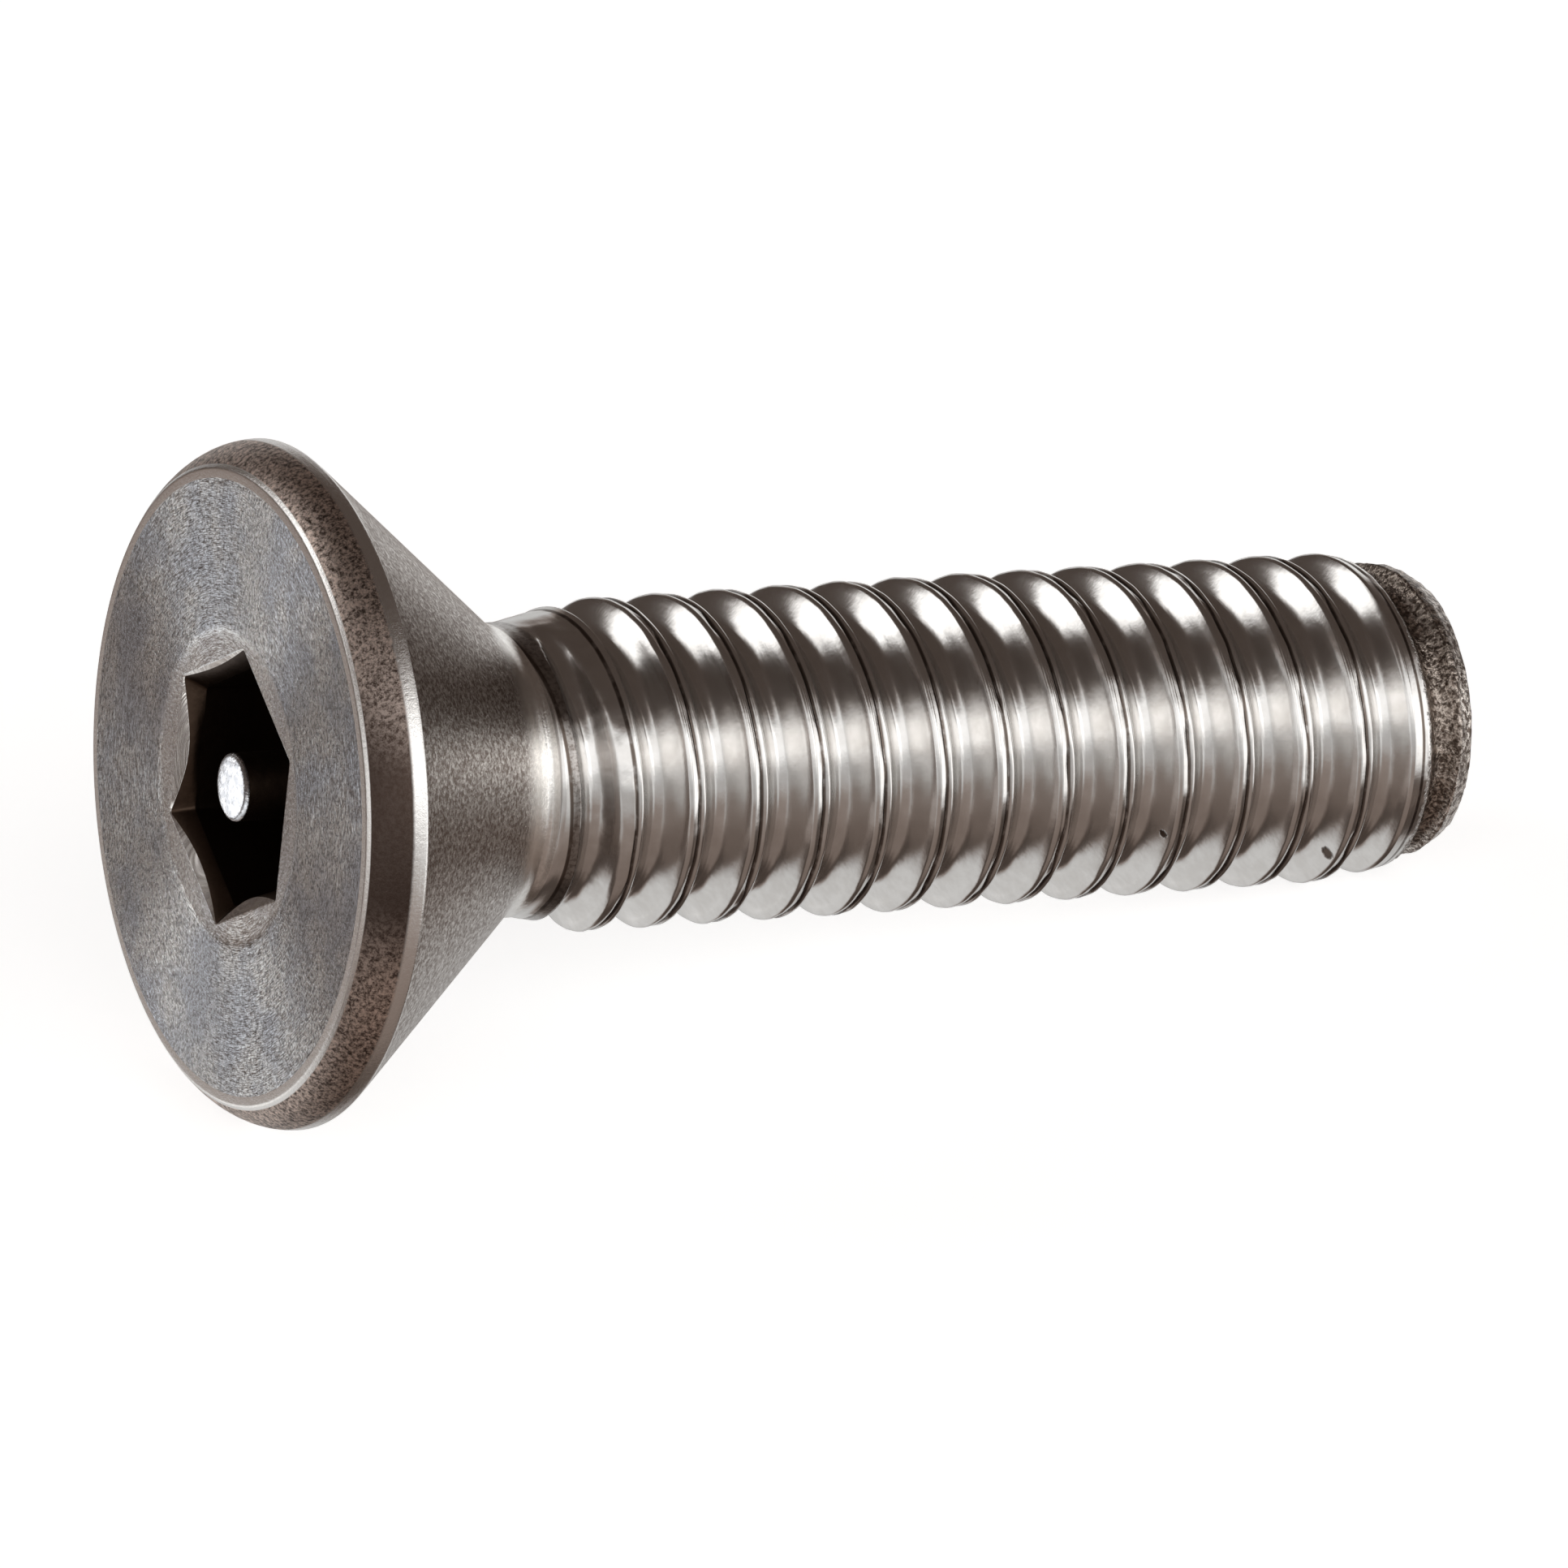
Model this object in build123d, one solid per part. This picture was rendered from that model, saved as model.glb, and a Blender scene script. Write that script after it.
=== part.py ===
from build123d import *
import math
import os

# Countersunk machine screw with a hexagon socket that has a pin in its middle.
# It is one cold-headed, thread-rolled piece: 1/4 inch, 20 threads to the inch, 1 inch long.
# Sizes are millimetres and degrees. The screw is drawn upright on the Z axis, its face at
# z = 0 and its point up, and is then laid down as it comes to rest: on the rim of its head
# and on a thread crest near its point, with the head towards -X and the point towards +X.
# Angles about the screw start from the line that ends up on top and grow counterclockwise,
# seen from the point.

# whole screw
LENGTH = 25.0  # face to the longest side of the cropped point: 1 inch less its tolerance

# head
HEAD_DIAMETER = 12.54
RIM_HEIGHT = 0.97  # from the face to the rim's rear edge, where the head is widest
RIM_BULGE_RADIUS = 1.2  # the rim's outline is an arc, upright at its rear edge
SEAT_ANGLE = 82  # across the whole cone under the head
NECK_DIAMETER = 5.66
NECK_FILLET = 0.5

# hexagon socket and the pin in it
SOCKET_WIDTH = 4.03  # across flats, for a 5/32 inch key
SOCKET_DEPTH = 2.4
SOCKET_CORNER_ROUND = 0.1
SOCKET_TURN = 57.2  # angle of one corner
MOUTH_SPREAD = 0.285  # how far the punch spread each flat outwards at the face
MOUTH_DEPTH = 0.35  # over which the mouth narrows to the socket
MOUTH_CORNER_ROUND = 0.12
DISH_WIDTH = 0.3  # of the ring round the mouth that the punch drew in
DISH_DEPTH = 0.05
PIN_DIAMETER = 1.25
PIN_BELOW_FACE = 0.05
PIN_DOME = 0.04
PIN_ROOT_CONE = 0.2

# thread
PITCH = 25.4 / 20
THREAD_DIAMETER = 6.2  # over the crests
CREST_FLAT = PITCH / 8
ROOT_FLAT = PITCH / 4
FLANK_ANGLE = 30  # of each flank, from a plane square to the axis
NECK_LENGTH = 0.72  # from the seat's end to where the first crest grows out of the neck
RISE_LENGTH = 1.35  # over which that crest grows
FIRST_GROOVE = 0.93  # from the seat's end to the middle of the groove where it is first full
LAST_GROOVE = 1.36  # about as far from the point's end to where it is last full
GROOVE_TURN = 20  # angle of both those places

# point
TAPER_LENGTH = 1.6
TAPER_DROP = 0.3  # what the radius loses over the taper
CHAMFER_LENGTH = 0.8
POINT_DIAMETER = 4.75  # at the longest side of the crop
CROP_ANGLE = 5.5  # of the cropped end, from square
CROP_TURN = -136  # angle of the side where the point is longest

CLEAR = 1  # how far a cutting solid runs on past what it cuts
SEAM_TURN = 2.35  # keeps the seam of the turned faces off the lines on top and underneath

HEAD_RADIUS = HEAD_DIAMETER / 2
NECK_RADIUS = NECK_DIAMETER / 2
CREST_RADIUS = THREAD_DIAMETER / 2
SEAT_END = RIM_HEIGHT + (HEAD_RADIUS - NECK_RADIUS) / math.tan(math.radians(SEAT_ANGLE / 2))
RISE_START = SEAT_END + NECK_LENGTH
GROOVE_START = SEAT_END + FIRST_GROOVE
GROOVE_TURNS = round((LENGTH - LAST_GROOVE - GROOVE_START) / PITCH)
TAPER_START = LENGTH - CHAMFER_LENGTH - TAPER_LENGTH
ROD_END = LENGTH + CHAMFER_LENGTH / 2  # before it is cropped


def turned(*corners):
    """A solid of revolution about Z from its outline's corners, each a radius and a height."""
    with BuildSketch(Plane.XZ) as outline:
        with BuildLine():
            Polyline(*corners, close=True)
        make_face()
    return revolve(outline.sketch.face(), Axis.Z)


def blank():
    """Head, neck and the rod that the thread is rolled on, with the crest of the first turn rising."""
    bulge_middle = HEAD_RADIUS - RIM_BULGE_RADIUS
    bulge_angle = math.asin(RIM_HEIGHT / RIM_BULGE_RADIUS)
    face_edge = (bulge_middle + RIM_BULGE_RADIUS * math.cos(bulge_angle), 0)
    half_way = (
        bulge_middle + RIM_BULGE_RADIUS * math.cos(bulge_angle / 2),
        RIM_HEIGHT - RIM_BULGE_RADIUS * math.sin(bulge_angle / 2),
    )
    rim_edge = (HEAD_RADIUS, RIM_HEIGHT)
    neck = (NECK_RADIUS, SEAT_END)
    with BuildSketch(Plane.XZ) as outline:
        with BuildLine():
            Line((0, 0), face_edge)
            ThreePointArc(face_edge, half_way, rim_edge)
            Polyline(
                rim_edge,
                neck,
                (NECK_RADIUS, RISE_START),
                (CREST_RADIUS, RISE_START + RISE_LENGTH),
                (CREST_RADIUS, ROD_END),
                (0, ROD_END),
                (0, 0),
            )
        make_face()
        fillet(outline.vertices().sort_by_distance(neck)[0], NECK_FILLET)
    return Rot(0, 0, SEAM_TURN) * revolve(outline.sketch.face(), Axis.Z)


def thread_groove():
    """The helical groove between the crests, turn by turn, and a straight run-out at each end."""
    flank_slope = math.tan(math.radians(90 - FLANK_ANGLE))
    depth = (PITCH - CREST_FLAT - ROOT_FLAT) / 2 * flank_slope
    root_radius = CREST_RADIUS - depth
    over = depth / 10  # how far the section stands out of the crests
    half_root = ROOT_FLAT / 2
    half_top = half_root + (depth + over) / flank_slope
    with BuildSketch(Plane.XZ) as outline:
        with BuildLine():
            Polyline(
                (root_radius, -half_root),
                (root_radius, half_root),
                (CREST_RADIUS + over, half_top),
                (CREST_RADIUS + over, -half_top),
                close=True,
            )
        make_face()
    section = outline.sketch.face()
    one_turn = sweep(section, path=Helix(PITCH, PITCH, root_radius), is_frenet=True)
    turns = [Pos(0, 0, PITCH * turn) * one_turn for turn in range(GROOVE_TURNS)]
    tangent = Vector(0, 2 * math.pi * root_radius, PITCH).normalized()
    run_in = extrude(section, CREST_RADIUS, dir=-tangent)  # a radius is enough to leave the rod
    run_out = Pos(0, 0, PITCH * GROOVE_TURNS) * extrude(section, CREST_RADIUS, dir=tangent)
    place = Pos(0, 0, GROOVE_START) * Rot(0, 0, GROOVE_TURN)
    return [place * piece for piece in (*turns, run_in, run_out)]


def point_trimming():
    """What is turned off round the point: the gentle taper, and the chamfer drawn on to twice its length."""
    lead = TAPER_LENGTH / 4  # the taper's line is drawn on past the crest by this much
    shoulder = CREST_RADIUS - TAPER_DROP
    return turned(
        (CREST_RADIUS + TAPER_DROP / 4, TAPER_START - lead),
        (shoulder, TAPER_START + TAPER_LENGTH),
        (POINT_DIAMETER - shoulder, LENGTH + CHAMFER_LENGTH),
        (CREST_RADIUS + CLEAR, LENGTH + CHAMFER_LENGTH),
        (CREST_RADIUS + CLEAR, TAPER_START - lead),
    )


def hexagon(width, corner_round, height):
    """A hexagon square to the axis, turned as the socket is."""
    with BuildSketch(Plane.XY.offset(height)) as outline:
        RegularPolygon(width / 2, 6, major_radius=False, rotation=SOCKET_TURN)
        fillet(outline.vertices(), corner_round)
    return outline.sketch.face()


def socket():
    """The hollow in the head: drawn-in ring, narrowing mouth and hexagon, all round the pin."""
    throat_depth = DISH_DEPTH + MOUTH_DEPTH
    mouth_width = SOCKET_WIDTH + 2 * MOUTH_SPREAD
    mouth = hexagon(mouth_width, MOUTH_CORNER_ROUND, DISH_DEPTH)
    throat = hexagon(SOCKET_WIDTH, SOCKET_CORNER_ROUND, throat_depth)
    narrowing = loft([mouth, throat], ruled=True)
    prism = extrude(throat, SOCKET_DEPTH - throat_depth)
    corner_radius = mouth_width / 2 / math.cos(math.radians(30))
    dish = turned(
        (0, 0),
        (corner_radius + DISH_WIDTH, 0),
        (corner_radius, DISH_DEPTH),
        (0, DISH_DEPTH),
    )
    return dish + narrowing + prism - pin()


def pin():
    """The pin that stands in the socket, domed at its end and with a cone at its root."""
    radius = PIN_DIAMETER / 2
    dome_radius = (radius**2 + PIN_DOME**2) / (2 * PIN_DOME)
    foot = SOCKET_DEPTH + CLEAR
    with BuildSketch(Plane.XZ) as outline:
        with BuildLine():
            dome = CenterArc(
                (0, PIN_BELOW_FACE + dome_radius),
                dome_radius,
                -90,
                math.degrees(math.asin(radius / dome_radius)),
            )
            Polyline(
                dome @ 1,
                (radius, SOCKET_DEPTH - PIN_ROOT_CONE),
                (radius + PIN_ROOT_CONE, SOCKET_DEPTH),
                (radius + PIN_ROOT_CONE, foot),
                (0, foot),
                dome @ 0,
            )
        make_face()
    return revolve(outline.sketch.face(), Axis.Z)


def resting_dip():
    """How far the axis dips towards the point once a crest under it meets the floor."""
    lowest_line = 180
    first_crest = GROOVE_START + PITCH * ((lowest_line - GROOVE_TURN) / 360 - 0.5)
    dips = []
    for turn in range(GROOVE_TURNS + 1):
        for edge in (-CREST_FLAT / 2, CREST_FLAT / 2):
            height = first_crest + PITCH * turn + edge
            taper = max(height - TAPER_START, 0) / TAPER_LENGTH
            radius = CREST_RADIUS - TAPER_DROP * taper
            dips.append(math.atan2(HEAD_RADIUS - radius, height - RIM_HEIGHT))
    return math.degrees(min(dips))


def lay_down(upright):
    """Tips the point over to +X and sets the screw on the floor, with the origin under its middle."""
    lying = Rot(0, 90 + resting_dip(), 0) * Rot(0, 0, 180) * upright
    box = lying.bounding_box()
    return Pos(-box.center().X, -box.center().Y, -box.min.Z) * lying


def screw():
    """The whole screw on its own axis."""
    body = blank()
    for groove in thread_groove():
        body -= groove
    body -= point_trimming()
    crop_middle = LENGTH - POINT_DIAMETER / 2 * math.tan(math.radians(CROP_ANGLE))
    crop = Plane(Pos(0, 0, crop_middle) * Rot(0, 0, CROP_TURN) * Rot(0, -CROP_ANGLE, 0))
    body = split(body, crop, keep=Keep.BOTTOM)
    return body - socket()


if __name__ == "__main__":
    body = lay_down(screw())
    os.makedirs("parts", exist_ok=True)
    export_step(body, "parts/socket_screw.step")
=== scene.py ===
import math

import bpy
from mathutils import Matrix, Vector, noise


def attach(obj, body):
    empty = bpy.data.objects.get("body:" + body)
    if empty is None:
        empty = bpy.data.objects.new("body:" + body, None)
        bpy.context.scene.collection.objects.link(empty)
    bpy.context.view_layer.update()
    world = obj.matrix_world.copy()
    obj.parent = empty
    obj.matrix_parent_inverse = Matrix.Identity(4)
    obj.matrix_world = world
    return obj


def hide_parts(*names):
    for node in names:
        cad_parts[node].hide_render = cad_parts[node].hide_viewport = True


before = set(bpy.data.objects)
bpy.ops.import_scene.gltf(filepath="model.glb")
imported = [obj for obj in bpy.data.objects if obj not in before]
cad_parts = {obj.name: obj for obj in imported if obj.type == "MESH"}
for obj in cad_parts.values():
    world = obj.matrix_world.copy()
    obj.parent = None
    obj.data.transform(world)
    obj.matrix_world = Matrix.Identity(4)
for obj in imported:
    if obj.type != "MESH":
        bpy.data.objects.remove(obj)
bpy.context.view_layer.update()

# A countersunk socket screw of stainless steel, lying on the rim of its head and a thread crest.
# Places on it are given by the distance behind its face, the radius, and the angle about its
# axis from the line on top, counterclockwise seen from the point. Lengths are in millimetres
# and angles in degrees, until place() turns them into the frame's metres.

MM = 0.001
DIP = math.radians(8.4236)
AXIS = Vector((math.cos(DIP), 0, -math.sin(DIP)))
TOP = Vector((math.sin(DIP), 0, math.cos(DIP)))
NEAR = Vector((0, -1, 0))
FACE_MIDDLE = Vector((-11.957, 0, 6.346))

# head
HEAD_RADIUS = 6.27
RIM_HEIGHT = 0.97
RIM_BULGE_RADIUS = 1.2
REAR_EDGE_ROUND = 0.09
FACE_EDGE_ROUND = 0.1
SEAT_ANGLE = 41  # of the cone, from the axis
NECK_RADIUS = 2.7
NECK_ROUND = 0.8
NECK_END = 5.6
SEAT_END = RIM_HEIGHT + (HEAD_RADIUS - NECK_RADIUS) / math.tan(math.radians(SEAT_ANGLE))

# socket and pin
SOCKET_WIDTH = 4.03
SOCKET_DEPTH = 2.4
SOCKET_TURN = 57.2  # angle of one corner
CORNER_ROUND = 0.1
MOUTH_SPREAD = 0.285
MOUTH_WIDTH = SOCKET_WIDTH + 2 * MOUTH_SPREAD
MOUTH_DEPTH = 0.35
DISH_WIDTH = 0.3
DISH_DEPTH = 0.05
BEVEL_WIDTH = 0.02  # of the bright bevel round the mouth, at the hexagon's corners
BEVEL_DEPTH = 0.02
LENS_WIDTHS = (0.08, 0.08, 0.12, 0.25, 0.15, 0.36)  # of the same bevel in the middle of each flat
LENS_DEPTHS = (0.06, 0.06, 0.07, 0.12, 0.12, 0.08)
PIN_RADIUS = 0.625
PIN_TOP = 0.05
PIN_DOME = 0.03  # how far the edge of its end is behind the middle
PIN_EDGE_ROUND = 0.09
PIN_ROOT_CONE = 0.2

# thread
PITCH = 25.4 / 20
CREST_RADIUS = 3.1
HEADWARD_LIP = 0.1  # radius of the fold on the head's side of each crest
HEADWARD_TOP = -0.065  # where it is highest, from the crest's middle towards the point
POINTWARD_LIP = 0.065
POINTWARD_TOP = 0.155
POINTWARD_DROP = 0.02
SEAM_PLACE = 0.075  # of the seam that rolling leaves between the two folds
SEAM_DEPTH = 0.08
FLANK_TILT = 60  # of each flank, from the screw's surface
ROOT_FULLNESS = 2.6  # how soon the rounded root turns into the flanks
GROOVE_START = 5.877  # where the groove's middle line passes GROOVE_TURN
GROOVE_TURN = 20
RUN_IN = 0.75  # how far the groove is lifted where it starts
RUN_IN_ANGLES = (-75, 45)  # over which it sinks to its depth, counted on along the helix
RUN_OUT = 0.5  # how far it is lifted again where it ends
RUN_OUT_ANGLES = (5200, 5330)
FIRST_SWELL = 0.2  # the ridge where the first crest grows out of the neck
RISE_SOFTNESS = 0.012  # of the bend where the rolled form passes into the bar

# point
LENGTH = 25
THREAD_END = 24.2  # where the bar starts to round off
TORN_START = 23  # where the torn end of the bar begins, followed back along the helix to the top
CROP_TURN = -136  # angle of the side where the cropped end is longest
CROP_DROP = 0.2287  # from there to the middle of the end
POINT_EDGE_ROUND = 0.06

# mesh
COLUMNS = 180
SIDE_COLUMNS = COLUMNS // 6  # for each flat of the hexagon
CORNER_COLUMN = SIDE_COLUMNS // 2  # the first column on a corner
CORNER_STEPS = 3  # from the middle of a rounded corner to its end
RING_MARGIN = 0.08  # between the mouth's corners and the first round ring on the face
STEP = 360 / COLUMNS
FIRST_ANGLE = SOCKET_TURN - 5 * SIDE_COLUMNS / 2 * STEP  # puts a column on each corner
STRIP_TURNS = 14  # of the thread's rows, between the part turns that let them out and gather them in
NECK_ROWS = 5  # the first rows, which still have the neck's finish


def place(along, radius, angle):
    """A point of the screw in the frame's metres."""
    turn = math.radians(angle)
    out = math.cos(turn) * TOP + math.sin(turn) * NEAR
    return MM * (FACE_MIDDLE + along * AXIS + radius * out)


def smooth(value, low, high):
    """0 up to low, 1 from high on, and an even curve between."""
    t = min(max((value - low) / (high - low), 0), 1)
    return t * t * (3 - 2 * t)


def mix(a, b, t):
    return a + (b - a) * t


def between(value, stops):
    """The value on a line through stops, each a place and its value."""
    for (low, a), (high, b) in zip(stops, stops[1:]):
        if value <= high:
            return mix(a, b, max((value - low) / (high - low), 0))
    return stops[-1][1]


def softer(a, b, reach):
    """The smaller of two values, rounded over where they meet."""
    low, gap = min(a, b), abs(a - b)
    return low - reach * math.log1p(math.exp(-gap / reach))


def grain(along, radius, angle, size, seed):
    """Smooth noise on the screw's surface, about -1 to 1, in lumps of the given size."""
    return noise.noise(place(along, radius, angle) / (MM * size) + Vector((seed, 0, seed)))


def rounded(corners):
    """A line with its corners rounded.

    Each corner is its distance behind the face, its radius, and its rounding's radius and steps.
    """
    line = []
    for i, (along, radius, rounding, steps) in enumerate(corners):
        here = Vector((along, radius))
        if not rounding:
            line.append(here)
            continue
        before = (Vector(corners[i - 1][:2]) - here).normalized()
        after = (Vector(corners[i + 1][:2]) - here).normalized()
        half = before.angle(after) / 2
        centre = here + (before + after).normalized() * rounding / math.sin(half)
        first = here + before * rounding / math.tan(half) - centre
        last = here + after * rounding / math.tan(half) - centre
        sweep = math.pi - 2 * half
        for step in range(steps + 1):
            turn = sweep * step / steps
            spoke = (first * math.sin(sweep - turn) + last * math.sin(turn)) / math.sin(sweep)
            line.append(centre + spoke)
    return line


def thread_rows():
    """One pitch of the thread from seam to seam.

    Each row is its distance from the groove's middle line and its radius.
    """

    def lip(top, height, radius, leans):
        """Spots round a fold, each where the surface leans by so many degrees."""
        spots = []
        for lean in leans:
            turn = math.radians(lean)
            spots.append((top + radius * math.sin(turn), height - radius * (1 - math.cos(turn))))
        return spots

    crest_before, crest_after = -PITCH / 2, PITCH / 2
    pointward_height = CREST_RADIUS - POINTWARD_DROP
    pointward_leans = (-40, 0, 30, FLANK_TILT)
    pointward = lip(crest_before + POINTWARD_TOP, pointward_height, POINTWARD_LIP, pointward_leans)
    headward_leans = (-FLANK_TILT, -38, -18, 0)
    headward = lip(crest_after + HEADWARD_TOP, CREST_RADIUS, HEADWARD_LIP, headward_leans)

    # the root steepens from its bottom out to the flanks
    steps = 40
    tilts = [FLANK_TILT * (1 - (1 - (i + 0.5) / steps) ** ROOT_FULLNESS) for i in range(steps)]
    slopes = [math.tan(math.radians(tilt)) for tilt in tilts]
    falls = [sum(slopes[:i]) / steps for i in range(steps + 1)]
    (left, left_height), (right, right_height) = pointward[-1], headward[0]
    middle = (left + right) / 2 + (left_height - right_height) / 2 / falls[-1]
    bottom = left_height - falls[-1] * (middle - left)
    root = []
    for share in (-0.85, -0.68, -0.52, -0.38, -0.25, -0.12, 0, 0.12, 0.25, 0.38, 0.52, 0.68, 0.85):
        width = right - middle if share > 0 else middle - left
        root.append((middle + share * width, bottom + falls[round(abs(share) * steps)] * width))
    slope = []
    for share in (0.3, 0.6, 0.88):
        behind = mix(HEADWARD_TOP, SEAM_PLACE, share)
        slope.append((crest_after + behind, CREST_RADIUS - 0.9 * SEAM_DEPTH * share ** 1.4))
    seam = (crest_before + SEAM_PLACE, CREST_RADIUS - SEAM_DEPTH)
    return [seam, *pointward, *root, *headward, *slope]


ROWS = thread_rows()
PROFILE = [*ROWS, (ROWS[0][0] + PITCH, ROWS[0][1])]
FIRST_GROOVE = GROOVE_START + PITCH * (FIRST_ANGLE - GROOVE_TURN) / 360  # on the first column
THREAD_START = FIRST_GROOVE - PITCH / 4  # where the first row leaves the neck
NECK_CORNERS = [
    (mix(RIM_HEIGHT, SEAT_END, 0.5), mix(HEAD_RADIUS, NECK_RADIUS, 0.5), 0, 0),
    (SEAT_END, NECK_RADIUS, NECK_ROUND, 14),
    (NECK_END, NECK_RADIUS, 0, 0),
]
NECK_CURVE = [tuple(spot) for spot in rounded(NECK_CORNERS)]

# outline of the bar that the thread is rolled on, from the middle of the seat to past the point
BLANK = (
    *NECK_CURVE,
    (6, 2.78),
    (6.4, 2.86),
    (6.7, 2.98),
    (7, 3.1),
    (7.3, 3.25),
    (22.2, 3.25),
    (22.7, 3.11),
    (23.46, 2.95),
    (THREAD_END, 2.8),
    (24.8, 2.45),
    (26, 1.5),
)


def thread_radius(along, angle):
    """The radius of the threaded part at a place."""
    # where it lies in the groove, and the angle counted on along the helix
    middle = GROOVE_START + PITCH * (angle - GROOVE_TURN) / 360
    groove = round((along - middle - SEAM_PLACE) / PITCH)
    offset = along - middle - groove * PITCH
    turn = angle + 360 * groove
    run_in = RUN_IN * (1 - smooth(turn, *RUN_IN_ANGLES))
    run_out = RUN_OUT * smooth(turn, *RUN_OUT_ANGLES)

    # the rolled form, its seam filled here and there and its crests a little uneven
    full = between(offset, PROFILE)
    from_seam = min(abs(offset - PROFILE[0][0]), abs(offset - PROFILE[-1][0]))
    filled = min(max(0.3 + 1.2 * grain(along, CREST_RADIUS, angle, 0.7, 3), 0), 1)
    full += 0.7 * SEAM_DEPTH * filled * (1 - smooth(from_seam, 0, 0.08))
    full += 0.01 * grain(along, CREST_RADIUS, angle, 0.35, 7) * smooth(full, 2.98, 3.08)
    full -= 0.05 * (1 - smooth(along, 6, 16))

    # the bar that it is rolled into
    ridge_along = smooth(along, 5.16, 5.4) * (1 - smooth(along, 5.9, 6.4))
    ridge_round = smooth(angle, 0, 50) * (1 - smooth(angle, 95, 140))
    bar = between(along, BLANK) + FIRST_SWELL * ridge_along * ridge_round
    radius = softer(bar, full + run_in + run_out, RISE_SOFTNESS)

    # torn at the point, and a little lumpy where the thread starts
    torn = smooth(along - PITCH * angle / 360, TORN_START, TORN_START + 0.3)
    radius += torn * (0.03 * grain(along, 3, angle, 0.3, 11) + 0.02 * grain(along, 3, angle, 0.14, 13))
    start = (1 - smooth(turn, 60, 200)) * smooth(along, 5.6, 5.7)
    radius += 0.012 * start * grain(along, 3, angle, 0.25, 17)
    return radius


class Skin:
    """The screw's surface, made ring by ring from the pin's end over the head and along to the point."""

    def __init__(self):
        self.points = []
        self.faces = []
        self.finishes = []
        self.last = None

    def point(self, spot):
        self.points.append(place(*spot))
        return len(self.points) - 1

    def join(self, ring, finish):
        """Joins a ring to the last one. A ring holds one index more than there are columns."""
        if self.last:
            for i in range(COLUMNS):
                corners = (self.last[i], self.last[i + 1], ring[i + 1], ring[i])
                face = [corner for n, corner in enumerate(corners) if corner != corners[n - 1]]
                if len(face) > 2:
                    self.faces.append(face)
                    self.finishes.append(finish)
        self.last = ring

    def ring(self, finish, spot):
        """A closed ring of the spots that spot(column) gives."""
        made = [self.point(spot(column)) for column in range(COLUMNS)]
        self.join([*made, made[0]], finish)

    def pole(self, finish, along):
        """A ring drawn together in one point on the axis."""
        self.join([self.point((along, 0, 0))] * (COLUMNS + 1), finish)


def column_angle(column):
    return FIRST_ANGLE + STEP * column


def hexagon(column, width):
    """A column's point on a hexagon with rounded corners.

    Gives its radius and angle, how far it is along its flat, from -1 to 1, and the flat's number.
    """
    side, step = divmod(column - CORNER_COLUMN, SIDE_COLUMNS)
    corner = column_angle(CORNER_COLUMN) + 60 * side
    flat_steps = SIDE_COLUMNS - 2 * CORNER_STEPS
    centre = (width / 2 - CORNER_ROUND) / math.cos(math.radians(30))
    half_flat = (width / 2 - CORNER_ROUND) * math.tan(math.radians(30))
    if step <= CORNER_STEPS or step >= SIDE_COLUMNS - CORNER_STEPS:
        late = step > CORNER_STEPS
        lean = (step - SIDE_COLUMNS if late else step) / CORNER_STEPS * 30
        base = corner + 60 * late
        x = centre + CORNER_ROUND * math.cos(math.radians(lean))
        y = CORNER_ROUND * math.sin(math.radians(lean))
        along_flat = 1 if late else -1
    else:
        along_flat = 2 * (step - CORNER_STEPS) / flat_steps - 1
        base = corner + 30
        x, y = width / 2, half_flat * along_flat
    return math.hypot(x, y), base + math.degrees(math.atan2(y, x)), along_flat, side % 6


def circle(along, radius):
    return lambda column: (along, radius, column_angle(column))


# the finishes, numbered in the order in which they are made
FORMED, RIM, SEAT, THREAD, BEVEL, SOCKET, PIN, POINT = range(8)
skin = Skin()


def make_pin():
    """The pin's mottled end, slightly domed, and its side down to the cone at its root."""

    def end(radius):
        drop = PIN_DOME * (radius / PIN_RADIUS) ** 2

        def spot(column):
            angle = column_angle(column)
            return PIN_TOP + drop + 0.012 * grain(0, radius, angle, 0.25, 19), radius, angle

        return spot

    skin.pole(PIN, PIN_TOP)
    for radius in (0.15, 0.3, 0.42):
        skin.ring(PIN, end(radius))
    edge = [
        (PIN_TOP, 0, 0, 0),
        (PIN_TOP + PIN_DOME, PIN_RADIUS, PIN_EDGE_ROUND, 4),
        (SOCKET_DEPTH, PIN_RADIUS, 0, 0),
    ]
    for along, radius in rounded(edge)[1:-1]:
        skin.ring(PIN, circle(along, radius))
    skin.ring(SOCKET, circle(SOCKET_DEPTH - PIN_ROOT_CONE, PIN_RADIUS))
    skin.ring(SOCKET, circle(SOCKET_DEPTH, PIN_RADIUS + PIN_ROOT_CONE))


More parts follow.
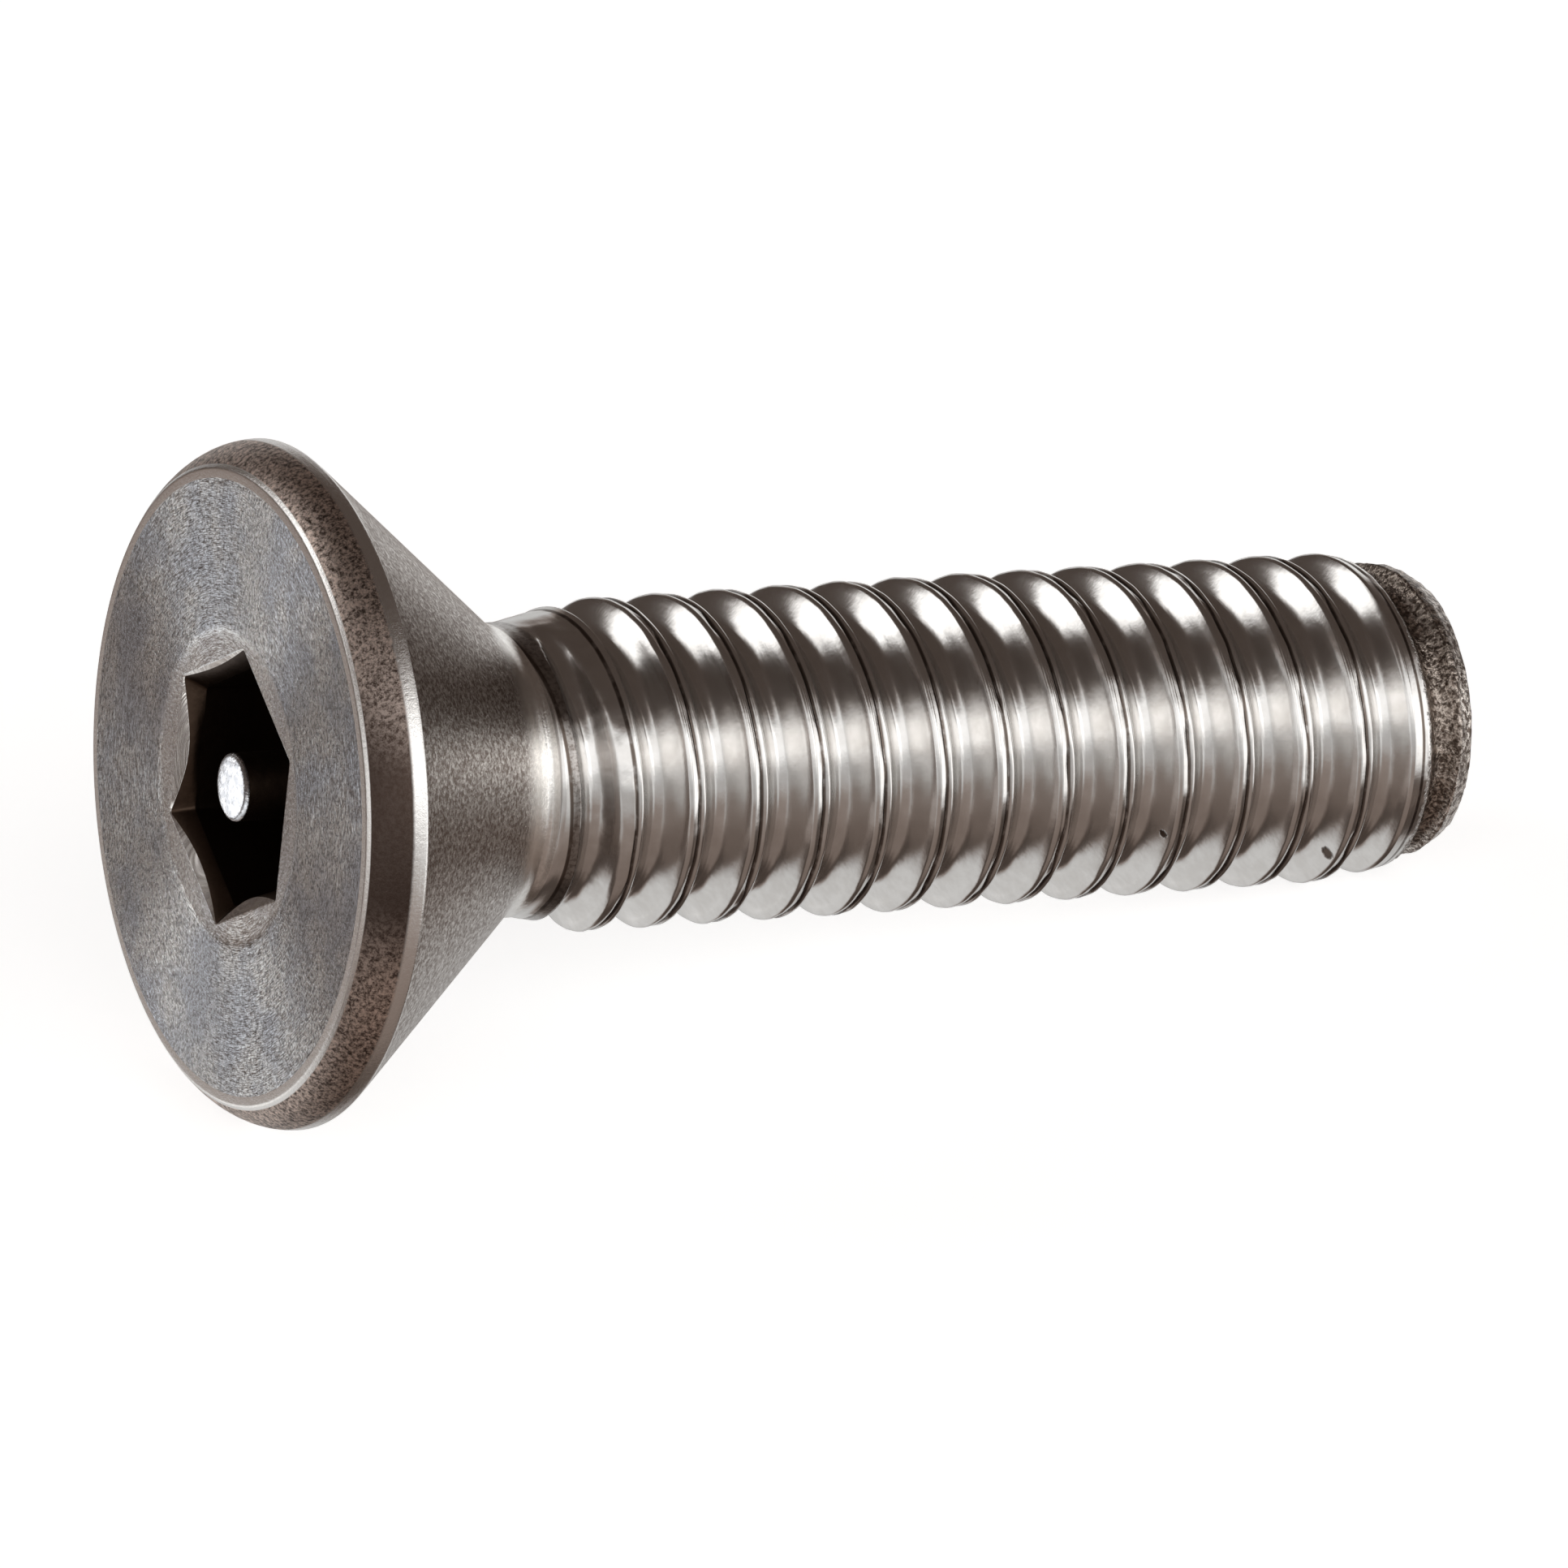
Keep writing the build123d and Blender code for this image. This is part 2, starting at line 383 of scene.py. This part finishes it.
def make_socket():
    """The socket's floor and walls, and the bevel round its mouth."""

    def bottom(column):
        radius, angle, _, _ = hexagon(column, SOCKET_WIDTH)
        return SOCKET_DEPTH, mix(PIN_RADIUS + PIN_ROOT_CONE, radius, 0.5), angle

    def wall(depth):
        def spot(column):
            radius, angle, _, _ = hexagon(column, SOCKET_WIDTH)
            return depth, radius, angle

        return spot

    def bevel(share):
        """The bevel at a share of the way in from its outer edge, widest in the middle of a flat."""

        def spot(column):
            radius, angle, along_flat, side = hexagon(column, MOUTH_WIDTH)
            swell = max(1 - along_flat ** 2, 0)
            width = mix(BEVEL_WIDTH, LENS_WIDTHS[side], swell)
            depth = mix(BEVEL_DEPTH, LENS_DEPTHS[side], swell)
            return DISH_DEPTH + depth * share, radius - width * share, angle

        return spot

    throat = DISH_DEPTH + MOUTH_DEPTH
    skin.ring(SOCKET, bottom)
    for depth in (SOCKET_DEPTH, SOCKET_DEPTH - 0.05, 1.6, 1.0, 0.6, throat + 0.02, throat):
        skin.ring(SOCKET, wall(depth))
    for share, finish in ((1, SOCKET), (0.97, BEVEL), (0.5, BEVEL), (0.03, BEVEL), (0, FORMED)):
        skin.ring(finish, bevel(share))


def make_face():
    """The face, from the ring that the punch drew in round the mouth out to the rim."""
    corner = MOUTH_WIDTH / 2 / math.cos(math.radians(30))
    ring_start = corner + RING_MARGIN

    def outside(margin):
        def spot(column):
            radius, angle, _, _ = hexagon(column, MOUTH_WIDTH)
            return DISH_DEPTH, radius + margin, angle

        return spot

    def toward(share, along):
        """From the hexagon out to a circle, a share of the way."""

        def spot(column):
            radius, angle, _, _ = hexagon(column, MOUTH_WIDTH)
            return along, mix(radius, ring_start, share), mix(angle, column_angle(column), share)

        return spot

    skin.ring(FORMED, outside(0.03))
    skin.ring(FORMED, toward(0.5, DISH_DEPTH))
    skin.ring(FORMED, toward(1, DISH_DEPTH - 0.005))
    for share in (0.3, 0.6, 0.8, 0.95, 1.15):
        radius = ring_start + share * (DISH_WIDTH - RING_MARGIN)
        skin.ring(FORMED, circle(DISH_DEPTH * (1 - smooth(share, 0, 1.1)), radius))
    for step in range(1, 13):
        skin.ring(FORMED, circle(0, mix(corner + DISH_WIDTH + 0.1, 5.6, step / 12)))


def make_head():
    """The arched rim with both of its edges rounded, and the seat's cone down to the neck."""
    bulge_middle = HEAD_RADIUS - RIM_BULGE_RADIUS
    lean = math.asin(RIM_HEIGHT / RIM_BULGE_RADIUS)
    bulge = []
    for step in range(9):
        turn = lean * (1 - step / 8)
        along = RIM_HEIGHT - RIM_BULGE_RADIUS * math.sin(turn)
        bulge.append((along, bulge_middle + RIM_BULGE_RADIUS * math.cos(turn)))
    face_edge = rounded([(0, 5, 0, 0), (*bulge[0], FACE_EDGE_ROUND, 4), (*bulge[1], 0, 0)])
    rear_edge = rounded([(*bulge[-2], 0, 0), (*bulge[-1], REAR_EDGE_ROUND, 4), (*NECK_CURVE[0], 0, 0)])
    for along, radius in (*face_edge[1:-1], *bulge[1:-1], *rear_edge[1:-1]):
        skin.ring(RIM, circle(along, radius))
    for step in range(1, 13):
        along, radius = mix(Vector(rear_edge[-2]), Vector(NECK_CURVE[1]), step / 13)
        skin.ring(SEAT, circle(along, radius))
    for along, radius in NECK_CURVE[1:]:
        if along < THREAD_START - 0.02:
            skin.ring(SEAT, circle(along, radius))


def make_thread():
    """The threaded part, up to a plain ring at the distance that it gives.

    Its rows follow the helix. They are let out of a plain ring at the neck over the first turn,
    in which they are numbered below 0, and gathered into one at the point over the last.
    """
    count = len(ROWS)
    shifted = sorted((FIRST_GROOVE + offset - THREAD_START) % PITCH for offset, _ in ROWS)
    spread = [offset - shifted[0] for offset in shifted]
    start = THREAD_START + shifted[0]
    last = count * STRIP_TURNS
    end = start + PITCH * STRIP_TURNS

    def away(row):
        """How far a row is behind the first, on the first column."""
        turns, rest = divmod(row, count)
        return turns * PITCH + spread[rest]

    def along(row, share):
        """Where a row is at a share of a turn from the first column."""
        if row < 0:
            return start + share * away(row + count)
        if row <= last:
            return start + away(row) + PITCH * share
        left = away(row - last)
        return end + left + share * (PITCH - left)

    grid = {}
    for row in range(-count, last + count + 1):
        for column in range(COLUMNS):
            if column == 0 and row < 0:
                continue
            angle = column_angle(column)
            behind = along(row, column / COLUMNS)
            grid[row, column] = skin.point((behind, thread_radius(behind, angle), angle))

    def at(row, column):
        """The point of a row on a column, where the end of a turn is the start of the next."""
        if column == COLUMNS:
            row, column = min(row + count, last + count), 0
        return grid[max(row, 0) if column == 0 else row, column]

    for row in range(-count, last + count + 1):
        finish = SEAT if row < -count + NECK_ROWS else THREAD
        skin.join([at(row, column) for column in range(COLUMNS + 1)], finish)
    return end + PITCH


def make_point(start):
    """The torn end of the bar, from a ring at the start out to its cropped and rounded end."""

    def off_long_side(angle):
        return math.cos(math.radians(angle - CROP_TURN))

    def side(share):
        def spot(column):
            angle = column_angle(column)
            along = mix(start, LENGTH - CROP_DROP * (1 - off_long_side(angle)), share)
            return along, thread_radius(along, angle), angle

        return spot

    def end(share):
        def spot(column):
            angle = column_angle(column)
            edge = LENGTH - CROP_DROP * (1 - off_long_side(angle))
            radius = (thread_radius(edge, angle) - POINT_EDGE_ROUND) * share
            along = edge - CROP_DROP * (1 - share) * off_long_side(angle)
            rough = 0.035 * grain(LENGTH, radius, angle, 0.5, 23)
            rough += 0.02 * grain(LENGTH, radius, angle, 0.2, 29)
            return along - 0.02 + rough * share, radius, angle

        return spot

    for step in range(1, 14):
        skin.ring(POINT, side(step / 14))
    for share in (1, 0.96, 0.9, 0.82, 0.72, 0.6, 0.46, 0.3, 0.14):
        skin.ring(POINT, end(share))
    skin.pole(POINT, LENGTH - CROP_DROP)


make_pin()
make_socket()
make_face()
make_head()
make_point(make_thread())

mesh = bpy.data.meshes.new("screw")
mesh.from_pydata(skin.points, [], skin.faces)
screw = bpy.data.objects.new("screw", mesh)
bpy.context.scene.collection.objects.link(screw)
mesh.polygons.foreach_set("material_index", skin.finishes)
mesh.polygons.foreach_set("use_smooth", [True] * len(skin.faces))
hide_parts("socket_screw")
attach(screw, "root")


class Wire:
    """A socket of a shader graph. Sums and products of wires that carry values add their Math nodes."""

    def __init__(self, graph, socket):
        self.graph = graph
        self.socket = socket

    def __add__(self, other):
        return self.graph.math("ADD", self, other)

    def __sub__(self, other):
        return self.graph.math("SUBTRACT", self, other)

    def __rsub__(self, other):
        return self.graph.math("SUBTRACT", other, self)

    def __mul__(self, other):
        return self.graph.math("MULTIPLY", self, other)

    def __truediv__(self, other):
        return self.graph.math("DIVIDE", self, other)

    def __pow__(self, other):
        return self.graph.math("POWER", self, other)

    __radd__ = __add__
    __rmul__ = __mul__

    def smooth(self, low, high, start=0, end=1):
        """An even curve from start at low to end at high, flat outside them."""
        places = {"Value": self, "From Min": low, "From Max": high, "To Min": start, "To Max": end}
        return self.graph.node("MapRange", {"interpolation_type": "SMOOTHSTEP"}, places)

    def within(self, low, high, edge):
        """1 between low and high, falling to 0 over an edge on both sides."""
        return self.smooth(low - edge, low + edge) * self.smooth(high - edge, high + edge, 1, 0)


class Graph:
    """The shader nodes of a material or of the world."""

    def __init__(self, owner):
        owner.use_nodes = True
        self.tree = owner.node_tree
        self.tree.nodes.clear()

    def node(self, kind, settings=None, inputs=None, take=0):
        """Adds a node, sets its settings and then its sockets' values or links, and gives its outputs."""
        made = self.tree.nodes.new("ShaderNode" + kind)
        for name, setting in (settings or {}).items():
            setattr(made, name, setting)
        for name, value in (inputs or {}).items():
            socket = made.inputs[name]
            if isinstance(value, Wire):
                self.tree.links.new(value.socket, socket)
            else:
                socket.default_value = value
        if isinstance(take, tuple):
            return tuple(Wire(self, made.outputs[name]) for name in take)
        return Wire(self, made.outputs[take]) if len(made.outputs) else None

    def math(self, operation, *values):
        return self.node("Math", {"operation": operation}, dict(enumerate(values)))

    def vector(self, operation, first, second=(0, 0, 0), take=0):
        return self.node("VectorMath", {"operation": operation}, {0: first, 1: second}, take)

    def scaled(self, wire, factor):
        return self.node("VectorMath", {"operation": "SCALE"}, {0: wire, "Scale": factor})

    def colour(self, factor, first, second):
        """Mixes two colours: the first where factor is 0 and the second where it is 1."""
        opaque = [value if isinstance(value, Wire) else (*value, 1) for value in (first, second)]
        return self.node("Mix", {"data_type": "RGBA"}, {0: factor, 6: opaque[0], 7: opaque[1]}, 2)

    def clouds(self, where, size, detail=2, roughness=0.5):
        """Noise about 0.5 with lumps of a size in millimetres, where positions are in millimetres."""
        inputs = {"Vector": where, "Scale": 1 / size, "Detail": detail, "Roughness": roughness}
        return self.node("TexNoise", {}, inputs)


class Steel(Graph):
    """A finish of the screw, with the places that it can vary by."""

    def __init__(self, name):
        owner = bpy.data.materials.new(name)
        super().__init__(owner)
        mesh.materials.append(owner)
        self.spot = self.scaled(self.node("TexCoord", take="Object"), 1 / MM)
        from_face = self.vector("SUBTRACT", self.spot, tuple(FACE_MIDDLE))
        self.along = self.vector("DOT_PRODUCT", from_face, tuple(AXIS), "Value")
        self.up = self.vector("DOT_PRODUCT", from_face, tuple(TOP), "Value")
        self.near = self.vector("DOT_PRODUCT", from_face, tuple(NEAR), "Value")
        self.radius = (self.up ** 2 + self.near ** 2) ** 0.5
        out = self.vector("ADD", self.scaled(tuple(TOP), self.up), self.scaled(tuple(NEAR), self.near))
        self.outward = self.node("VectorMath", {"operation": "NORMALIZE"}, {0: out})
        # the distance behind the face, once followed back along the helix to the line on top
        self.winding = self.along - self.math("ARCTAN2", self.near, self.up) * (PITCH / 2 / math.pi)

    def streaks(self, across, along):
        """Noise drawn out round the axis, of so many millimetres across and along the turning marks."""
        way = self.scaled(self.outward, self.radius * (1 / along))
        shift = self.scaled(tuple(AXIS), self.along * (1 / across) + self.radius * (1 / across))
        inputs = {"Vector": self.vector("ADD", way, shift), "Scale": 1, "Detail": 1}
        return self.node("TexNoise", {}, inputs)

    def leaned(self, way, amount):
        """The surface's normal, leaned the given way by an amount."""
        normal = self.node("NewGeometry", take="Normal")
        lean = self.vector("ADD", normal, self.scaled(way, amount))
        return self.node("VectorMath", {"operation": "NORMALIZE"}, {0: lean})

    def bump(self, height, distance, normal=None):
        """The normal of a surface raised by a height of 0 to 1 times a distance in millimetres."""
        inputs = {"Height": height, "Distance": distance * MM, "Strength": 1}
        if normal:
            inputs["Normal"] = normal
        return self.node("Bump", {}, inputs)

    def finish(self, colour, roughness, normal):
        values = {"Base Color": colour, "Metallic": 1, "Roughness": roughness, "Normal": normal}
        shader = self.node("BsdfPrincipled", {}, values)
        self.node("OutputMaterial", {}, {"Surface": shader})


# colours of the steel and of what lies on it
BLUISH = (0.68, 0.72, 0.79)
CLEAN_FACE = (0.9, 0.91, 0.91)
DRAWN_FACE = (0.95, 0.94, 0.92)
FACE_SPECK = (0.36, 0.37, 0.39)
RUBBED = (0.86, 0.84, 0.82)
DULL = (0.85, 0.7, 0.62)
# painted shade on the rim, darker across the middle of its height
RIM_PAINTED_SHADE = (0.09, 0.066, 0.056)
RIM_SPECK = (0.07, 0.048, 0.039)
CLEAN_SEAT = (0.76, 0.73, 0.7)
# painted highlight towards the neck
SEAT_PAINTED_HIGHLIGHT = (0.95, 0.93, 0.9)
RUST = (0.2, 0.15, 0.125)
ROLLED = (0.75, 0.735, 0.72)
ROLLED_DARKER = (0.69, 0.67, 0.65)
DIRT = (0.1, 0.075, 0.06)
TORN = (0.6, 0.52, 0.46)
TORN_EDGE = (1, 0.95, 0.9)
BEVEL_LIGHT = (0.95, 0.93, 0.9)
BEVEL_DARK = (0.75, 0.72, 0.7)
# painted shade of the socket's walls, in two depths
SOCKET_PAINTED_SHADE = (0.09, 0.06, 0.044)
SOCKET_PAINTED_DEEP_SHADE = (0.04, 0.026, 0.018)
PIN_LIGHT = (0.92, 0.94, 0.98)
PIN_DARK = (0.6, 0.62, 0.66)
CROPPED = (1, 0.94, 0.88)
CROPPED_DARK = (0.2, 0.155, 0.13)

NECK_DARK_BAND = (5.24, 5.66, 0.05)  # a dark band along the helix: from, to and how soft its edges are


# finishes, in the order in which they are numbered
def formed_finish():
    """The matt face that the heading punch left, bluish, finely speckled and faintly turned."""
    steel = Steel("formed_face")
    speckle = steel.clouds(steel.spot, 0.07, 3, 0.7)
    cloud = steel.clouds(steel.spot, 1.3, 3)
    tone = steel.colour(cloud.smooth(0.35, 0.65), BLUISH, CLEAN_FACE)
    colour = steel.colour(speckle.smooth(0.44, 0.7), tone, FACE_SPECK)
    drawn_in = steel.radius.smooth(2.8, 2.98, 1, 0)
    colour = steel.colour(0.5 * drawn_in, colour, DRAWN_FACE)
    fine = (steel.streaks(0.004, 0.2) - 0.5) * (4.6 - 2.6 * drawn_in)
    coarse = (steel.streaks(0.05, 0.9) - 0.5) * 0.25
    turning = steel.leaned(steel.outward, fine + coarse)
    steel.finish(colour, 0.12 + 0.12 * speckle, steel.bump(speckle, 0.012, turning))


def rim_finish():
    """The dull rim, browned and grainy, with painted shade across the middle of its height, rubbed bright
    along both of its edges.
    """
    steel = Steel("rim_land")
    speckle = steel.clouds(steel.spot, 0.09, 4, 0.85)
    marks = steel.streaks(0.05, 1.2)
    rubbed = steel.along.smooth(0.58, 0.86) + steel.along.smooth(0.03, 0.09, 1, 0)
    edge = (rubbed + (speckle - 0.5) * 0.6 * rubbed).smooth(0.3, 0.7)
    # painted shade: the rim is coloured darker across the middle of its height than above and below
    painted_shade_band = steel.up.smooth(-1.8, 0.4) * steel.up.smooth(2.4, 4.8, 1, 0)
    dull = steel.colour(speckle.smooth(0.36, 0.64), steel.colour(painted_shade_band, DULL, RIM_PAINTED_SHADE), RIM_SPECK)
    normal = steel.bump(speckle, 0.008, steel.leaned(tuple(AXIS), (marks - 0.5) * 0.3))
    steel.finish(steel.colour(edge, dull, RUBBED), 0.34 + 0.15 * speckle - 0.18 * edge, normal)


def seat_finish():
    """The cone and neck, lightly oxidised in fine dark specks, with a painted highlight brightening the
    steel towards the neck.
    """
    steel = Steel("seat_cone")
    speckle = steel.clouds(steel.spot, 0.09, 4, 0.85)
    # painted highlight: lighter steel, fewer specks and a smoother finish towards the neck, where its
    # highlight falls
    painted_highlight = steel.along.smooth(4.3, 4.9)
    rusty = speckle.smooth(0.38, 0.58) * (1 - 0.85 * painted_highlight)
    # darker in grainy patches along a band of the helix near the neck
    dark_patches = steel.winding.within(*NECK_DARK_BAND) * speckle.smooth(0.3, 0.6, 0.9, 0.6)
    clean = steel.colour(painted_highlight, CLEAN_SEAT, SEAT_PAINTED_HIGHLIGHT)
    colour = steel.colour(1 - (1 - rusty) * (1 - dark_patches), clean, RUST)
    steel.finish(colour, 0.2 + 0.18 * speckle - 0.08 * painted_highlight, steel.bump(speckle, 0.006))


# pits in the rolled thread: how far near, up and behind the face, and their radius
PITS = (
    (2.79, -0.91, 18.03, 0.1),
    (2.38, -1.72, 21.91, 0.15),
    (2.15, -2, 21.6, 0.09),
    (2.6, -1.3, 22.2, 0.06),
)


def thread_finish():
    """The bright rolled thread, and past its last crest the torn and browned end of the bar."""
    steel = Steel("rolled_thread")
    mottle = steel.clouds(steel.spot, 0.35, 3, 0.6)
    fine = steel.streaks(0.04, 0.8)
    grit = steel.clouds(steel.spot, 0.09, 3, 0.7)
    pitted = 0
    for near, up, along, size in PITS:
        middle = place(along, math.hypot(near, up), math.degrees(math.atan2(near, up))) / MM
        from_middle = steel.vector("DISTANCE", steel.spot, middle, "Value")
        pitted = (from_middle + (grit - 0.5) * 0.1).smooth(size * 0.6, size, 1, 0) + pitted
    first_seam = GROOVE_START - PITCH * GROOVE_TURN / 360 + SEAM_PLACE
    turns = (steel.winding - first_seam) / PITCH
    from_seam = steel.math("FRACT", turns) - 0.5
    dirt = from_seam.within(-0.03, 0.025, 0.012) * mottle.smooth(0.25, 0.5, 0.55, 0.95)
    # darker in grainy patches along a band of the helix near the neck
    dark_patches = steel.winding.within(*NECK_DARK_BAND) * grit.smooth(0.3, 0.6, 0.9, 0.6)
    bright = steel.colour(mottle.smooth(0.3, 0.7), ROLLED, ROLLED_DARKER)
    bright = steel.colour(1 - (1 - dirt) * (1 - dark_patches) * (1 - pitted), bright, DIRT)
    torn = (steel.winding + (grit - 0.5) * 0.2).smooth(23.14, 23.26)
    torn_light = steel.colour(steel.along.smooth(24.1, 24.5), TORN, TORN_EDGE)
    brown = steel.colour(grit.smooth(0.38, 0.6), torn_light, DIRT)
    rolled = steel.leaned(tuple(AXIS), (fine - 0.5) * 0.06)
    normal = steel.bump(grit * torn, 0.035, steel.bump(mottle - 8 * pitted, 0.004, rolled))
    steel.finish(steel.colour(torn, bright, brown), 0.14 + 0.1 * mottle + 0.08 * torn, normal)


def bevel_finish():
    """The bright bevel that the punch pressed round the socket's mouth."""
    steel = Steel("mouth_bevel")
    marks = steel.streaks(0.03, 0.6)
    colour = steel.colour(marks.smooth(0.4, 0.6), BEVEL_LIGHT, BEVEL_DARK)
    steel.finish(colour, 0.2 + 0.1 * marks, steel.bump(marks, 0.008, steel.leaned(tuple(TOP), 0.3)))


def socket_finish():
    """The socket's walls, coloured near black in blotches as painted shade."""
    steel = Steel("socket_wall")
    dark_patches = steel.clouds(steel.spot, 0.25, 3, 0.6)
    # painted shade: the walls, floor and pin root are coloured near black, as the inside of the socket is
    # in shade
    colour = steel.colour(dark_patches, SOCKET_PAINTED_SHADE, SOCKET_PAINTED_DEEP_SHADE)
    steel.finish(colour, 0.3 + 0.2 * dark_patches, steel.bump(dark_patches, 0.01))


def pin_finish():
    """The pin's end, bright and mottled."""
    steel = Steel("pin_end")
    mottle = steel.clouds(steel.spot, 0.14, 3, 0.65)
    colour = steel.colour(mottle.smooth(0.35, 0.65), PIN_LIGHT, PIN_DARK)
    lit = steel.leaned(tuple(TOP + NEAR * 0.2), 0.65)
    steel.finish(colour, 0.2 + 0.15 * mottle, steel.bump(mottle, 0.011, lit))


def point_finish():
    """The cropped end, rough and browned."""
    steel = Steel("point_end")
    rough = steel.clouds(steel.spot, 0.12, 4, 0.7)
    colour = steel.colour(rough.smooth(0.42, 0.58), CROPPED, CROPPED_DARK)
    steel.finish(colour, 0.12 + 0.2 * rough, steel.bump(rough, 0.045))


formed_finish()
rim_finish()
seat_finish()
thread_finish()
bevel_finish()
socket_finish()
pin_finish()
point_finish()

# floor
FLOOR_SIZE = 1.5
PAPER_GLOW = 0.76
floor_mesh = bpy.data.meshes.new("floor")
half = FLOOR_SIZE / 2
floor_corners = [(-half, -half, 0), (half, -half, 0), (half, half, 0), (-half, half, 0)]
floor_mesh.from_pydata(floor_corners, [], [(0, 1, 2, 3)])
floor = bpy.data.objects.new("floor", floor_mesh)
bpy.context.scene.collection.objects.link(floor)


def floor_finish():
    """Pale paper that keeps the screw's shadow. Metal sees the room's light through it."""
    paper = bpy.data.materials.new("paper")
    floor_mesh.materials.append(paper)
    graph = Graph(paper)
    rays = ("Is Camera Ray", "Is Glossy Ray", "Is Transmission Ray")
    seen, mirrored, through = graph.node("LightPath", take=rays)
    lit = graph.node("BsdfDiffuse", inputs={"Color": (0.8, 0.8, 0.8, 1)})
    glow = graph.node("Emission", inputs={"Strength": (seen + through) * PAPER_GLOW})
    both = graph.node("AddShader", inputs={0: lit, 1: glow})
    clear = graph.node("BsdfTransparent")
    surface = graph.node("MixShader", inputs={0: mirrored, 1: both, 2: clear})
    graph.node("OutputMaterial", inputs={"Surface": surface})


floor_finish()

# studio
DARK_ROOM = 0.06  # its light between the windows
DARK_TINT = (1.25, 0.95, 0.8)
WINDOW_TINT = (1.0, 0.995, 0.985)

# each window: from and to this azimuth, counted from the near side towards the point, from and to
# this rise above the floor, how soft its edge is, and its strength
WINDOWS = (
    (-64, 46, 10, 46, 8, 0.85),
    (5, 48, 8, 38, 7, 0.6),
    (-98, -60, 0, 24, 7, 0.95),
    (-110, -50, -26, 2, 8, 0.3),
    (-60, 60, -9, 10, 8, 0.45),
    (20, 48, -22, 6, 7, 0.35),
    (-60, 46, -36, -8, 9, 0.2),
    (-70, 60, -76, -36, 8, 0.13),
    (48, 80, -24, 22, 6, 1.4),
    (-147, -114, 15, 44, 5, 1.8),
    (-166, -134, -26, -8, 5, 0.2),
    (126, 152, -14, 14, 7, 0.9),
    (152, 185, -20, 14, 8, 0.6),
    (-190, -100, -66, -32, 8, 0.66),
    (-166, -128, -40, -24, 6, 0.7),
    (98, 188, -60, -28, 7, 0.55),
)


def studio():
    """The room's soft light: white to the camera, and to the metal dark with wide bright windows."""
    world = bpy.data.worlds.new("studio")
    bpy.context.scene.world = world
    graph = Graph(world)
    way = graph.node("TexCoord", take="Generated")
    x, y, z = graph.node("SeparateXYZ", inputs={0: way}, take=("X", "Y", "Z"))
    turn = graph.math("ARCTAN2", x, y * -1) * (180 / math.pi)
    rise = graph.math("ARCSINE", z) * (180 / math.pi)
    light = DARK_ROOM
    for turn_low, turn_high, rise_low, rise_high, edge, strength in WINDOWS:
        inside = turn.within(turn_low, turn_high, edge) * rise.within(rise_low, rise_high, edge)
        light = inside * strength + light
    seen = graph.node("LightPath", take="Is Camera Ray")
    tint = graph.colour(light.smooth(0.05, 0.6), DARK_TINT, WINDOW_TINT)
    colour = graph.colour(seen, graph.scaled(tint, light), (1, 1, 1))
    background = graph.node("Background", inputs={"Color": colour})
    graph.node("OutputWorld", inputs={"Surface": background})


studio()


def direction(azimuth, rise):
    """The way from the screw to something at an azimuth and a rise, as the windows have them."""
    turn, lift = math.radians(azimuth), math.radians(rise)
    return Vector((math.sin(turn) * math.cos(lift), -math.cos(turn) * math.cos(lift), math.sin(lift)))


def aimed(name, data, spot, from_screw):
    """Sets up a lamp or a camera at a place, looking back along the way from the screw."""
    made = bpy.data.objects.new(name, data)
    made.location = spot
    made.rotation_mode = "QUATERNION"
    made.rotation_quaternion = (-from_screw).to_track_quat("-Z", "Y")
    bpy.context.scene.collection.objects.link(made)
    return made


# soft box over the front
BOX_WAY = direction(-10, 30)
BOX_AWAY = 0.5
BOX_SIZE = (0.78, 0.22)
BOX_STRENGTH = 0.4
panel = bpy.data.lights.new("soft_box", "AREA")
panel.shape = "RECTANGLE"
panel.size, panel.size_y = BOX_SIZE
panel.energy = BOX_STRENGTH * math.pi * BOX_SIZE[0] * BOX_SIZE[1]
aimed("soft_box", panel, BOX_WAY * BOX_AWAY, BOX_WAY)

# camera
CAMERA_WAY = direction(-26.464, 25.598)
CAMERA_PLACE = Vector((-96.961, -193.331, 107.479)) * MM
lens = bpy.data.cameras.new("camera")
lens.lens = 297.6
lens.sensor_width = 36
lens.clip_start = 0.01
lens.clip_end = 10
bpy.context.scene.camera = aimed("camera", lens, CAMERA_PLACE, CAMERA_WAY)
bpy.context.scene.view_settings.view_transform = "Standard"
